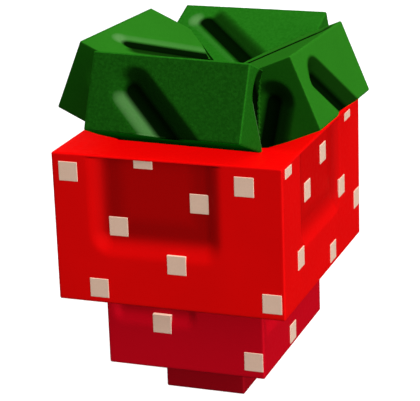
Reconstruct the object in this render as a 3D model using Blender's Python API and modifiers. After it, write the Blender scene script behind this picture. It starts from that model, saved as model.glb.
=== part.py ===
"""Blocky strawberry ornament: three stacked blocks, four tilted leaf blocks, square seed tiles.

Units are metres and +Z is up.  The piece stands on the flat underside of its
tip block.  The origin is under the middle of the leaf crown, at floor level.
"""
import math

import bmesh
import bpy
from mathutils import Matrix, Vector

# ---------------------------------------------------------------- sizes
GAP = 0.0003                   # clear space left between neighbouring pieces
EDGE = 0.0005                  # rounding on the outer edges of the blocks

BODY_WIDTH = 0.0600            # upper body, left to right
BODY_DEPTH = 0.0674            # upper body, front to back
BODY_HEIGHT = 0.0388
MIDDLE_WIDTH = 0.0423
MIDDLE_DEPTH = 0.0491
MIDDLE_HEIGHT = 0.0200
TIP_WIDTH = 0.0217
TIP_DEPTH = 0.0224
TIP_HEIGHT = 0.0109
STACK_X = -0.0012              # the crown sits this little off the middle of the stack
STACK_Y = -0.0006

LEAF_WIDTH = 0.0402            # across one leaf block
LEAF_REACH = 0.0300            # outer end to inner end, along the sloping top
LEAF_THICK = 0.0195
LEAF_TILT = math.radians(23.0) # how far the outer end is raised
LEAF_OUT_SIDE = 0.0314         # crown centre to outer face centre, left and right leaves
LEAF_OUT_ENDS = 0.0342         # the same for the front and back leaves
LEAF_RISE = 0.0152             # body top to outer face centre
LEAF_LIFT = {"front": 0.0007, "right": -0.0002, "back": -0.0006, "left": 0.0001}
LEAF_TURN = {"front": -0.4, "right": -1.7, "back": -2.4, "left": -4.6}  # degrees about Z
LEAF_ROLL = {"front": -1.3, "right": -0.5, "back": -0.3, "left": 0.3}  # degrees about its length
CLAIM_INWARDS = 0.0150         # how far a mitre cutter runs on past the middle of the crown

DISH_DEPTH = 0.0016            # soft hollow in each side of the body
DISH_LIP = 0.0006              # thin rim left above each hollow
MIDDLE_DISH_DEPTH = 0.0010
GROOVE_DEPTH = 0.0020          # slanting groove on the outer and side faces of a leaf
GROOVE_TOP_DEPTH = 0.0008      # the shallower one on its top
GROOVE_HALF = 0.0060           # half its width at the surface
GROOVE_CORE = 0.0004           # half its width at the bottom

SEED_SIZE = 0.0049             # square tile
SEED_THICK = 0.0020
SEED_PROUD = 0.00015           # how far a tile stands above its face

# Seed tiles: (across, down) from the upper left corner of a face, then "face" or "dish".
BODY_SEEDS_ENDS = [
    (0.0044, 0.0047, "face"),
    (0.0382, 0.0110, "dish"),
    (0.0166, 0.0186, "dish"),
    (0.0322, 0.0269, "face"),
    (0.0112, 0.0348, "face"),
    (0.0503, 0.0052, "face"),
    (0.0567, 0.0346, "face"),
]
BODY_SEEDS_SIDES = [
    (0.0383, 0.0073, "dish"),
    (0.0246, 0.0131, "dish"),
    (0.0498, 0.0198, "face"),
    (0.0640, 0.0276, "face"),
    (0.0134, 0.0271, "face"),
    (0.0412, 0.0350, "face"),
]
# Tiles cut short under the top edge: across, down, height.
TOP_SEEDS_ENDS = [
    (0.0238, 0.0020, 0.0022),
]
TOP_SEEDS_SIDES = [
    (0.0045, 0.0020, 0.0024),
    (0.0557, 0.0021, 0.0020),
]
MIDDLE_SEEDS_ENDS = [
    (0.0151, 0.0077),
    (0.0395, 0.0155),
]
MIDDLE_SEEDS_SIDES = [
    (0.0239, 0.0164),
]

# Hollows: left, right, bottom at the surface, then width of the side and lower banks.
BODY_DISH_ENDS = (0.0089, 0.0445, 0.0266, 0.0046, 0.0055)
BODY_DISH_SIDES = (0.0135, 0.0482, 0.0257, 0.0045, 0.0043)
MIDDLE_DISH_ENDS = (0.0012, 0.0249, 0.0090, 0.0030, 0.0050)
MIDDLE_DISH_SIDES = (0.0012, 0.0289, 0.0092, 0.0030, 0.0045)
CORNER_ROUND = 0.0060

# Grooves: start and a point further along, from the middle of each leaf face.
GROOVE_OUTER = ((-0.0090, 0.0010), (0.0010, -0.0090))
GROOVE_TOP = {"front": ((0.0118, 0.0068), (-0.0035, 0.0212)),
              "right": ((0.0135, 0.0064), (0.0050, 0.0214)),
              "back": ((0.0118, 0.0068), (-0.0035, 0.0212)),
              "left": ((0.0067, 0.0080), (-0.0096, 0.0232))}
GROOVE_SIDE_A = ((0.0102, 0.0042), (0.0160, -0.0008))
GROOVE_SIDE_B = ((0.0092, 0.0004), (0.0138, -0.0064))

COLOURS = {
    "red": (0.60, 0.004, 0.004, 1.0),
    "crimson": (0.36, 0.004, 0.012, 1.0),
    "dark_crimson": (0.20, 0.003, 0.007, 1.0),
    "leaf_green": (0.03, 0.17, 0.012, 1.0),
    "seed_tan": (0.60, 0.47, 0.37, 1.0),
}


# ---------------------------------------------------------------- set up
for old in list(bpy.data.objects):
    bpy.data.objects.remove(old, do_unlink=True)

SHOWN = bpy.data.collections.new("blocky_strawberry")
bpy.context.scene.collection.children.link(SHOWN)
CUTTERS = bpy.data.collections.new("cutters")
bpy.context.scene.collection.children.link(CUTTERS)

MATERIALS = {}
for colour_name, colour in COLOURS.items():
    made = bpy.data.materials.new(colour_name)
    made.use_nodes = True
    made.diffuse_color = colour
    shader = made.node_tree.nodes["Principled BSDF"]
    shader.inputs["Base Color"].default_value = colour
    shader.inputs["Roughness"].default_value = 0.55
    MATERIALS[colour_name] = made


def keep(name, mesh, colour_name):
    """Put a finished mesh in the scene as one named, coloured piece."""
    piece = bpy.data.objects.new(name, mesh)
    mesh.materials.append(MATERIALS[colour_name])
    SHOWN.objects.link(piece)
    return piece


def keep_cutter(name, mesh):
    """Put a cutting shape in the cutters collection, drawn as wire and never rendered."""
    cutter = bpy.data.objects.new(name, mesh)
    CUTTERS.objects.link(cutter)
    cutter.display_type = "WIRE"
    cutter.hide_render = True
    return cutter


def add_box(form, low, high, placing=None):
    """Add a box between two corners to an open bmesh, moved by an optional matrix."""
    size = Vector(high) - Vector(low)
    middle = (Vector(high) + Vector(low)) / 2
    placed = Matrix.Translation(middle) @ Matrix.Diagonal((size.x, size.y, size.z, 1.0))
    if placing is not None:
        placed = placing @ placed
    return bmesh.ops.create_cube(form, size=1.0, matrix=placed)["verts"]


def to_mesh(form, name):
    """Close a bmesh, with its faces turned outwards, into a mesh."""
    bmesh.ops.recalc_face_normals(form, faces=form.faces)
    mesh = bpy.data.meshes.new(name)
    form.to_mesh(mesh)
    form.free()
    return mesh


def box_mesh(name, low, high, placing=None):
    """A single box as a mesh."""
    form = bmesh.new()
    add_box(form, low, high, placing)
    return to_mesh(form, name)


def round_edges(piece, width):
    """Round the edges of a block a little."""
    bevel = piece.modifiers.new("rounded_edges", "BEVEL")
    bevel.width = width
    bevel.segments = 2
    bevel.limit_method = "ANGLE"
    bevel.angle_limit = math.radians(40)


def cut(piece, cutter):
    """Take one cutter away from a piece."""
    boolean = piece.modifiers.new("cut_" + cutter.name, "BOOLEAN")
    boolean.operation = "DIFFERENCE"
    boolean.solver = "EXACT"
    boolean.object = cutter


# ---------------------------------------------------------------- hollows and grooves
def soft_depth(part):
    """Depth of a soft bank, 0 at the rim and 1 at the bottom."""
    return part * part * (3.0 - 2.0 * part)


def add_bowl(form, outlines, depths, lift, place):
    """Add a closed hollow-shaped solid made of nested open outlines.

    Each outline starts and ends on the same straight edge, so the solid gets one flat end.
    """
    rings = []
    for outline, depth in zip([outlines[0]] + outlines, [-lift] + depths):
        ring = []
        for across, down in outline:
            ring.append(form.verts.new(place(across, down, -depth)))
        rings.append(ring)
    for upper, lower in zip(rings, rings[1:]):
        for i in range(len(upper) - 1):
            form.faces.new((upper[i], upper[i + 1], lower[i + 1], lower[i]))
    form.faces.new(rings[0])
    form.faces.new(rings[-1])
    end = [ring[0] for ring in rings] + [ring[-1] for ring in reversed(rings)]
    form.faces.new(end)


def dish_outlines(dish, steps):
    """Outlines of a hollow that is open upwards, from the rim inwards."""
    left, right, bottom, side_bank, lower_bank = dish
    outlines = []
    for step in range(steps + 1):
        part = step / steps
        x0 = left + side_bank * part
        x1 = right - side_bank * part
        y1 = bottom - lower_bank * part
        radius = min(CORNER_ROUND - 0.55 * side_bank * part, 0.9 * (y1 - DISH_LIP))
        outline = [(x0, DISH_LIP)]
        for i in range(7):
            angle = math.radians(180 - 15 * i)
            outline.append((x0 + radius + radius * math.cos(angle),
                            y1 - radius + radius * math.sin(angle)))
        for i in range(7):
            angle = math.radians(90 - 15 * i)
            outline.append((x1 - radius + radius * math.cos(angle),
                            y1 - radius + radius * math.sin(angle)))
        outline.append((x1, DISH_LIP))
        outlines.append(outline)
    return outlines


def add_dish(form, dish, depth, place):
    """Add the solid that hollows one face."""
    steps = 5
    outlines = dish_outlines(dish, steps)
    depths = [depth * soft_depth(step / steps) for step in range(steps + 1)]
    add_bowl(form, outlines, depths, 0.002, place)


def add_groove(form, start, along, depth, place):
    """Add the solid that cuts one slanting groove, round at its start and running off the edge."""
    steps = 5
    begin = Vector((start[0], start[1]))
    heading = (Vector((along[0], along[1])) - begin).normalized()
    length = (Vector((along[0], along[1])) - begin).length + 0.006
    side = Vector((-heading.y, heading.x))
    outlines = []
    depths = []
    for step in range(steps + 1):
        part = step / steps
        radius = GROOVE_HALF + (GROOVE_CORE - GROOVE_HALF) * part
        outline = [begin + heading * length + side * radius]
        for i in range(13):
            angle = math.radians(15 * i)
            outline.append(begin + side * radius * math.cos(angle) - heading * radius * math.sin(angle))
        outline.append(begin + heading * length - side * radius)
        outlines.append([(point.x, point.y) for point in outline])
        depths.append(depth * (0.55 * soft_depth(part) + 0.45 * part))
    add_bowl(form, outlines, depths, 0.002, place)


# ---------------------------------------------------------------- the three stacked blocks
TIP_TOP = TIP_HEIGHT
MIDDLE_BASE = TIP_TOP + GAP
MIDDLE_TOP = MIDDLE_BASE + MIDDLE_HEIGHT
BODY_BASE = MIDDLE_TOP + GAP
BODY_TOP = BODY_BASE + BODY_HEIGHT
SIDES = ("front", "right", "back", "left")
OUTWARD = {"front": Vector((0, -1, 0)), "right": Vector((1, 0, 0)),
           "back": Vector((0, 1, 0)), "left": Vector((-1, 0, 0))}


def face_placer(side, width, depth, top):
    """Turn (across, down, outward) on one side of a block into a point in space."""
    outward = OUTWARD[side]
    across_axis = Vector((0, 0, 1)).cross(outward)
    is_end = side in ("front", "back")
    half_out = (depth if is_end else width) / 2
    half_across = (width if is_end else depth) / 2
    corner = Vector((STACK_X, STACK_Y, top)) + outward * half_out - across_axis * half_across

    def place(across, down, out):
        return corner + across_axis * across - Vector((0, 0, 1)) * down + outward * out
    return place


def stacked_block(name, width, depth, height, base, colour_name):
    """One plain rectangular block of the stack."""
    low = (STACK_X - width / 2, STACK_Y - depth / 2, base)
    high = (STACK_X + width / 2, STACK_Y + depth / 2, base + height)
    piece = keep(name, box_mesh(name, low, high), colour_name)
    round_edges(piece, EDGE)
    return piece


body = stacked_block("body_block", BODY_WIDTH, BODY_DEPTH, BODY_HEIGHT, BODY_BASE, "red")
middle = stacked_block("middle_block", MIDDLE_WIDTH, MIDDLE_DEPTH, MIDDLE_HEIGHT, MIDDLE_BASE, "crimson")
tip = stacked_block("tip_block", TIP_WIDTH, TIP_DEPTH, TIP_HEIGHT, 0.0, "dark_crimson")

body_dishes = bmesh.new()
middle_dishes = bmesh.new()
for side in SIDES:
    is_end = side in ("front", "back")
    on_body = face_placer(side, BODY_WIDTH, BODY_DEPTH, BODY_TOP)
    add_dish(body_dishes, BODY_DISH_ENDS if is_end else BODY_DISH_SIDES, DISH_DEPTH, on_body)
    on_middle = face_placer(side, MIDDLE_WIDTH, MIDDLE_DEPTH, MIDDLE_TOP)
    add_dish(middle_dishes, MIDDLE_DISH_ENDS if is_end else MIDDLE_DISH_SIDES,
             MIDDLE_DISH_DEPTH, on_middle)
cut(body, keep_cutter("body_hollows", to_mesh(body_dishes, "body_hollows")))
cut(middle, keep_cutter("middle_hollows", to_mesh(middle_dishes, "middle_hollows")))


# ---------------------------------------------------------------- seed tiles and their pockets
def seed_list(side, block):
    """Every tile on one side of a block: (across, down, height, depth of the face it sits on)."""
    is_end = side in ("front", "back")
    tiles = []
    if block == "middle":
        for across, down in MIDDLE_SEEDS_ENDS if is_end else MIDDLE_SEEDS_SIDES:
            tiles.append((across, down, SEED_SIZE, 0.0))
        return tiles
    for across, down, where in BODY_SEEDS_ENDS if is_end else BODY_SEEDS_SIDES:
        tiles.append((across, down, SEED_SIZE, DISH_DEPTH if where == "dish" else 0.0))
    for across, down, height in TOP_SEEDS_ENDS if is_end else TOP_SEEDS_SIDES:
        tiles.append((across, down, height, DISH_DEPTH if is_end else 0.0))
    return tiles


def corner_pair(place, across, down, half_across, half_down, out_low, out_high):
    """Two opposite corners of a box set square on a face, sorted low to high."""
    one = place(across - half_across, down - half_down, out_low)
    two = place(across + half_across, down + half_down, out_high)
    low = [min(a, b) for a, b in zip(one, two)]
    high = [max(a, b) for a, b in zip(one, two)]
    return low, high


for block, piece, width, depth, top in (
        ("body", body, BODY_WIDTH, BODY_DEPTH, BODY_TOP),
        ("middle", middle, MIDDLE_WIDTH, MIDDLE_DEPTH, MIDDLE_TOP)):
    pockets = bmesh.new()
    for side in SIDES:
        place = face_placer(side, width, depth, top)
        for number, (across, down, height, sunk) in enumerate(seed_list(side, block), start=1):
            half_across = SEED_SIZE / 2
            half_down = height / 2
            outer = SEED_PROUD - sunk
            inner = outer - SEED_THICK
            low, high = corner_pair(place, across, down, half_across, half_down, inner, outer)
            name = "{}_seed_{}_{}".format(block, side, number)
            seed = keep(name, box_mesh(name, low, high), "seed_tan")
            round_edges(seed, 0.0001)
            low, high = corner_pair(place, across, down, half_across + GAP, half_down + GAP,
                                    inner - GAP, 0.001)
            add_box(pockets, low, high)
    cut(piece, keep_cutter(block + "_pockets", to_mesh(pockets, block + "_pockets")))


# ---------------------------------------------------------------- the crown of four leaf blocks
def leaf_outward(side):
    """The level direction a leaf points in, a little off square."""
    return Matrix.Rotation(math.radians(LEAF_TURN[side]), 3, "Z") @ OUTWARD[side]


def leaf_matrix(side):
    """Local frame of a leaf: x across, y inwards along the top, z out of the top.

    The local origin is the middle of the outer face.
    """
    outward = OUTWARD[side]
    reach = LEAF_OUT_ENDS if side in ("front", "back") else LEAF_OUT_SIDE
    across_axis = Vector((0, 0, 1)).cross(outward)
    inward_axis = -(outward * math.cos(LEAF_TILT) + Vector((0, 0, 1)) * math.sin(LEAF_TILT))
    top_axis = across_axis.cross(inward_axis)
    centre = outward * reach + Vector((0, 0, BODY_TOP + LEAF_RISE + LEAF_LIFT[side]))
    leant = Matrix((across_axis, inward_axis, top_axis)).transposed().to_4x4()
    square = Matrix.Translation(centre) @ leant
    middle = Matrix.Translation(square @ Vector((0, LEAF_REACH / 2, 0)))
    rolled = Matrix.Rotation(math.radians(LEAF_ROLL[side]), 4, outward)
    turned = Matrix.Rotation(math.radians(LEAF_TURN[side]), 4, "Z")
    return turned @ middle @ rolled @ middle.inverted() @ square


def leaf_box(form, side, grow, inwards):
    """The plain box of one leaf, larger all round by a clearance and longer at its inner end."""
    low = (-LEAF_WIDTH / 2 - grow, -grow, -LEAF_THICK / 2 - grow)
    high = (LEAF_WIDTH / 2 + grow, LEAF_REACH + inwards, LEAF_THICK / 2 + grow)
    return add_box(form, low, high, leaf_matrix(side))


def top_height(side):
    """Height of the sloping top plane of a leaf straight above the crown centre."""
    frame = leaf_matrix(side)
    point = frame @ Vector((0, 0, LEAF_THICK / 2))
    return point.z - point.dot(leaf_outward(side)) * math.tan(LEAF_TILT)


def add_claim(form, owner, other):
    """Add the part of the owner's box that it keeps where it overlaps its neighbour.

    The two sloping tops cross over a line near 45 degrees, and that line is the border.
    """
    shift = (top_height(other) - top_height(owner)) / math.tan(LEAF_TILT)
    apart = leaf_outward(owner) - leaf_outward(other)
    border_normal = apart.normalized()
    border_point = border_normal * (shift / apart.length - GAP / 2)
    claim = bmesh.new()
    leaf_box(claim, owner, GAP, CLAIM_INWARDS)
    everything = list(claim.verts) + list(claim.edges) + list(claim.faces)
    sliced = bmesh.ops.bisect_plane(claim, geom=everything, plane_co=border_point,
                                    plane_no=border_normal, clear_inner=True)
    rim = [item for item in sliced["geom_cut"] if isinstance(item, bmesh.types.BMEdge)]
    bmesh.ops.holes_fill(claim, edges=rim, sides=0)
    scrap = bpy.data.meshes.new("scrap")
    claim.to_mesh(scrap)
    claim.free()
    form.from_mesh(scrap)
    bpy.data.meshes.remove(scrap)


seat = keep_cutter("crown_seat", box_mesh(
    "crown_seat", (-0.060, -0.060, BODY_TOP - 0.040), (0.060, 0.060, BODY_TOP + GAP)))

# The left and right leaves meet over the crown centre, so each is cut back from the other's half.
past_centre = {
    "left": keep_cutter("right_half", box_mesh(
        "right_half", (-GAP / 2, -0.060, BODY_TOP - 0.020), (0.060, 0.060, BODY_TOP + 0.060))),
    "right": keep_cutter("left_half", box_mesh(
        "left_half", (-0.060, -0.060, BODY_TOP - 0.020), (GAP / 2, 0.060, BODY_TOP + 0.060))),
}

for index, side in enumerate(SIDES):
    frame = leaf_matrix(side)
    form = bmesh.new()
    leaf_box(form, side, 0.0, 0.0)
    leaf = keep("leaf_" + side, to_mesh(form, "leaf_" + side), "leaf_green")

    for neighbour in (SIDES[(index + 1) % 4], SIDES[(index + 3) % 4]):
        form = bmesh.new()
        add_claim(form, neighbour, side)
        name = "mitre_{}_{}".format(side, neighbour)
        cut(leaf, keep_cutter(name, to_mesh(form, name)))
    if side in past_centre:
        cut(leaf, past_centre[side])
    cut(leaf, seat)
    round_edges(leaf, EDGE)

    grooves = bmesh.new()

    def on_outer(across, up, out, frame=frame):
        return frame @ Vector((across, -out, up))

    def on_top(across, inward, out, frame=frame):
        return frame @ Vector((across, inward, LEAF_THICK / 2 + out))

    def on_side_a(inward, up, out, frame=frame):
        return frame @ Vector((LEAF_WIDTH / 2 + out, inward, up))

    def on_side_b(inward, up, out, frame=frame):
        return frame @ Vector((-LEAF_WIDTH / 2 - out, inward, up))

    add_groove(grooves, GROOVE_OUTER[0], GROOVE_OUTER[1], GROOVE_DEPTH, on_outer)
    add_groove(grooves, GROOVE_TOP[side][0], GROOVE_TOP[side][1], GROOVE_TOP_DEPTH, on_top)
    add_groove(grooves, GROOVE_SIDE_A[0], GROOVE_SIDE_A[1], GROOVE_DEPTH, on_side_a)
    add_groove(grooves, GROOVE_SIDE_B[0], GROOVE_SIDE_B[1], GROOVE_DEPTH, on_side_b)
    cut(leaf, keep_cutter("grooves_" + side, to_mesh(grooves, "grooves_" + side)))

shown_count = len(SHOWN.objects)
print("pieces:", shown_count)
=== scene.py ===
# %% [markdown]
# # A blocky strawberry
# This lesson finishes a strawberry built from blocks. Three red blocks step down to a
# small tip, four green leaf blocks lean outwards on top, and square tan seed tiles are
# let into the sides. The packed part gives the true places, and every cell below adds
# a finer surface, a real finish, or the light to see them by.

import math

import bmesh
import bpy
import numpy as np
from mathutils import Matrix, Vector


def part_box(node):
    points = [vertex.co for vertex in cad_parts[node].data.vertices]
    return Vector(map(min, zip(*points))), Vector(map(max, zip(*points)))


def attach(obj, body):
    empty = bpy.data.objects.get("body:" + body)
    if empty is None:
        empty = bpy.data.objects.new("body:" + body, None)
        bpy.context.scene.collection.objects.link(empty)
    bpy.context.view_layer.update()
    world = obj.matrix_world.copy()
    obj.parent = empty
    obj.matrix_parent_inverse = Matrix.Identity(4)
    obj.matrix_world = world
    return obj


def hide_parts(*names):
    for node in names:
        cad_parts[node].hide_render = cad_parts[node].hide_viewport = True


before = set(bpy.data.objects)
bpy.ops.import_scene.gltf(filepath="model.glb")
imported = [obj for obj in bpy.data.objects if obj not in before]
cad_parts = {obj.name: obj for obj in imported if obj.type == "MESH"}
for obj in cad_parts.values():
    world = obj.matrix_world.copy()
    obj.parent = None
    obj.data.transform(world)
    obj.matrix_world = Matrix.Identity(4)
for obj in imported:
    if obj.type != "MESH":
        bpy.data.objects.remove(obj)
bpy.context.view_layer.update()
print("blocks in the part:", len(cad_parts))

# %% [markdown]
# ## The camera
# The camera stands a little to the right of the front and looks slightly down. A long
# lens keeps the blocks nearly parallel. It leans by two degrees, so the strawberry
# seems to tip to one side. The target is a point inside the red body.

# %% Place the camera
CAMERA_TURN = math.radians(20.55)
CAMERA_RISE = math.radians(18.16)
CAMERA_LEAN = math.radians(-2.02)
CAMERA_DISTANCE = 0.4782
CAMERA_TARGET = Vector((-0.0012, -0.0043, 0.0523))
FOCAL_WIDTHS = 1847.0 / 420.0     # focal length in widths of the view
SHIFT_X = 0.0034
SHIFT_Y = -0.0168

back = Vector((math.sin(CAMERA_TURN) * math.cos(CAMERA_RISE),
               -math.cos(CAMERA_TURN) * math.cos(CAMERA_RISE),
               math.sin(CAMERA_RISE)))
level_right = Vector((math.cos(CAMERA_TURN), math.sin(CAMERA_TURN), 0.0))
level_up = back.cross(level_right)
lean_right = level_right * math.cos(CAMERA_LEAN) + level_up * math.sin(CAMERA_LEAN)
lean_up = level_up * math.cos(CAMERA_LEAN) - level_right * math.sin(CAMERA_LEAN)

camera = bpy.data.objects.new("camera", bpy.data.cameras.new("camera"))
bpy.context.scene.collection.objects.link(camera)
camera.data.sensor_width = 36.0
camera.data.lens = FOCAL_WIDTHS * camera.data.sensor_width
camera.data.shift_x = SHIFT_X
camera.data.shift_y = SHIFT_Y
camera.data.clip_start = 0.01
camera.data.clip_end = 20.0
axes = Matrix((lean_right, lean_up, back)).transposed().to_4x4()
camera.matrix_world = Matrix.Translation(CAMERA_TARGET + back * CAMERA_DISTANCE) @ axes
bpy.context.scene.camera = camera
print("lens in mm:", round(camera.data.lens, 1))

# %% [markdown]
# ## A block made of lines
# A plain cube has no points to bend. Here a block is a box with many lines across each
# side, so its edges can be rounded and its faces pressed in afterwards. The lines are
# close together at the edges and further apart between them.

# %% Build a block from three sets of lines
EDGE_PARTS = (0.0, 0.2, 0.4, 0.6, 0.8, 1.0)     # where the lines run across a rounded edge


def cut_lines(low, high, rounding, step, extra=()):
    """Places of the lines along one side: fine at both edges, even between."""
    edge = [rounding * part for part in EDGE_PARTS]
    count = max(2, int(round((high - low - 2 * rounding) / step)))
    inner = np.linspace(low + rounding, high - rounding, count + 1)
    places = [low + e for e in edge] + list(inner) + [high - e for e in edge] + list(extra)
    return np.unique(np.round(places, 7))


def lined_box(lines):
    """Points and faces of a box skin on three sets of lines, each point used once."""
    counts = [len(line) for line in lines]
    number = {}
    points = []
    faces = []

    def point_number(key):
        if key not in number:
            number[key] = len(points)
            points.append([lines[axis][key[axis]] for axis in range(3)])
        return number[key]

    for axis in range(3):
        u, v = (axis + 1) % 3, (axis + 2) % 3
        for end in (0, counts[axis] - 1):
            for i in range(counts[u] - 1):
                for j in range(counts[v] - 1):
                    corners = []
                    for a, b in ((i, j), (i + 1, j), (i + 1, j + 1), (i, j + 1)):
                        key = [0, 0, 0]
                        key[axis], key[u], key[v] = end, a, b
                        corners.append(point_number(tuple(key)))
                    if end == 0:
                        corners.reverse()
                    faces.append(corners)
    return np.array(points), faces


demo_points, demo_faces = lined_box([cut_lines(0.0, 0.01, 0.001, 0.004)] * 3)
print("a small test block has", len(demo_points), "points and", len(demo_faces), "faces")

# %% [markdown]
# ## Rounded edges
# A moulded block has no knife edges. A Bevel modifier could round them, but it would
# lose the even lines. Here every point is pushed out from a smaller inner box by the
# same distance, so the faces stay flat and the edges turn into quarter rounds. How far a
# point turns from its face is kept, because the finish wears the edges paler there.

# %% Round the edges of a block
EDGE_TURN = 1.0 - math.sqrt(0.5)     # how far the middle of an edge turns from its face


def round_box(points, low, high, rounding):
    """Round a box's edges. Gives the new points, their directions and an edge amount."""
    inner = np.clip(points, low + rounding, high - rounding)
    away = points - inner
    length = np.linalg.norm(away, axis=1, keepdims=True)
    away = away / length
    flatness = np.abs(away).max(axis=1)
    edge = np.clip((1.0 - flatness) / EDGE_TURN, 0.0, 1.0)
    return inner + away * rounding, away, edge


def soft_step(part):
    """An S-shaped rise from 0 to 1."""
    part = np.clip(part, 0.0, 1.0)
    return part * part * (3.0 - 2.0 * part)


demo_edge = round_box(demo_points, np.zeros(3), np.full(3, 0.01), 0.001)[2]
print("points on the test block's edges:", int((demo_edge > 0.5).sum()))

# %% [markdown]
# ## Marks on the points
# The block gets painted light on slopes that turn one way and painted shade on slopes that
# turn the other way. A finish can't know what a hollow or a bank is, so each point stores
# small numbers, called marks, and the finishes read them later. Two of them say how far a
# slope turns towards or away from the way the painted light comes from.

# %% Make an object with marks on its points
def shaped_piece(name, points, faces, marks):
    """Make a smooth object from points and faces, with named numbers stored on its points."""
    mesh = bpy.data.meshes.new(name)
    mesh.from_pydata([tuple(p) for p in points], [], faces)
    for mark, values in marks.items():
        layer = mesh.attributes.new(mark, "FLOAT", "POINT")
        layer.data.foreach_set("value", np.asarray(values, np.float32))
    mesh.polygons.foreach_set("use_smooth", [True] * len(mesh.polygons))
    mesh.update()
    piece = bpy.data.objects.new(name, mesh)
    bpy.context.scene.collection.objects.link(piece)
    return piece


FACING = 0.8                                    # a face looks along an axis past this share
PAINTED_LIGHT_ENDS = np.array((0.55, -0.35, 0.76))     # way the painted light comes from on front and back faces
PAINTED_LIGHT_LEAF_SIDES = np.array((0.0, 0.45, 0.80))      # on the leaves' left and right faces
PAINTED_LIGHT_TOPS = np.array((0.70, -0.05, -0.10))    # on the leaves' tops
PAINTED_LIGHT_BLOCK_SIDES = np.array((0.0, 0.80, -0.50))      # on the blocks' left and right faces


def mark_painted_slope_light(piece, flat, sides, painted_light_share=1.0, gain=1.0):
    """Store the painted light and shade: how far each point's slope turns towards or away from the
    light's way.
    """
    count = len(piece.data.vertices)
    normals = np.empty(count * 3, np.float32)
    piece.data.vertices.foreach_get("normal", normals)
    turned = normals.reshape(-1, 3) - flat
    turn = np.where(np.abs(flat[:, 0]) > FACING, turned @ sides, turned @ PAINTED_LIGHT_ENDS)
    turn = np.where(flat[:, 2] > FACING, turned @ PAINTED_LIGHT_TOPS, turn) * gain
    # towards holds the painted light and away the painted shade of each slope
    for mark, values in (("towards", turn * painted_light_share), ("away", -turn)):
        layer = piece.data.attributes.new(mark, "FLOAT", "POINT")
        layer.data.foreach_set("value", np.clip(values, 0.0, 1.0).astype(np.float32))


print("paler way on front and back faces:", PAINTED_LIGHT_ENDS.tolist())

# %% [markdown]
# ## Where a hollow lies
# Each side of the body has a wide shallow hollow, with soft banks on three sides and a
# thin rim above it. Its shape is written as a share: 0 outside, 1 on the floor, and a
# smooth rise over the banks. A second share marks the strip at the foot of the banks,
# where the darkest painted shade goes.

# %% Measure a hollow on one side of a block
OUTWARD = {"front": np.array((0.0, -1.0, 0.0)), "right": np.array((1.0, 0.0, 0.0)),
           "back": np.array((0.0, 1.0, 0.0)), "left": np.array((-1.0, 0.0, 0.0))}
UP = np.array((0.0, 0.0, 1.0))
RIM = 0.0006                     # rim left above a hollow
RIM_STEP = 0.00008               # height of the drop just under the rim
FOOT_SHADE_REACH = 0.0040              # how far the strip of painted shade reaches in from a bank


def side_view(points, side, low, high):
    """Across, down and inward distances of points as seen from one side of a block."""
    outward = OUTWARD[side]
    across_axis = np.cross(UP, outward)
    middle = (low + high) / 2
    size = high - low
    half_out = abs(outward @ size) / 2
    half_across = abs(across_axis @ size) / 2
    from_middle = points - middle
    across = from_middle @ across_axis + half_across
    down = high[2] - points[:, 2]
    inward = half_out - from_middle @ outward
    return across, down, inward


def hollow_share(across, down, hollow):
    """0 outside a hollow and 1 on its floor, rising smoothly over its banks."""
    left, right, bottom, left_bank, right_bank, lower_bank = hollow
    from_sides = np.minimum((across - left) / left_bank, (right - across) / right_bank)
    from_bottom = (bottom - down) / lower_bank
    corner = np.hypot(np.maximum(1.0 - from_sides, 0.0), np.maximum(1.0 - from_bottom, 0.0))
    share = soft_step(1.0 - corner)
    rim = np.clip((down - RIM) / RIM_STEP, 0.0, 1.0)
    return share * rim


def foot_share(across, down, hollow):
    """Where the painted shade at the foot of the banks goes: 1 on the floor just inside the banks
    and under the rim, fading to 0 further in.
    """
    left, right, bottom, left_bank, right_bank, lower_bank = hollow
    from_sides = np.minimum(across - left - left_bank, right - across - right_bank)
    inside = np.minimum(from_sides, bottom - down - lower_bank)
    return np.clip(1.0 - inside / FOOT_SHADE_REACH, 0.0, 1.0)


print("rim above a hollow in mm:", 1000 * RIM, "and dark strip in mm:", 1000 * FOOT_SHADE_REACH)

# %% [markdown]
# ## Pressing the hollows in
# A hollow could be cut with a boolean, but pressing the points in keeps the surface
# even, so the banks shade smoothly. The press fades out with depth, so the far side of
# the block does not move. The floors get a painted shade that starts part of the way down
# a bank, and it is weaker on the left and right sides.

# %% Press hollows into the sides of a block
PRESS_FADE = 0.0070              # depth over which a press fades out
NEAR_SKIN = 0.3                  # share of that depth which still counts as the skin
SHADE_START, SHADE_RANGE = 0.5, 0.45     # from where on a bank, and how fast, the painted shade deepens
SHADE_REACH = {"front": 1.2, "right": 0.85, "back": 1.2, "left": 0.85}     # bank widths of the painted shade
HOLLOW_SHADE = {"front": 1.0, "right": 0.46, "back": 1.0, "left": 0.46}    # strength of the painted shade on the floors
END_GAIN = 0.5                   # how strongly painted light and shade mark the banks on the front and back


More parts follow.
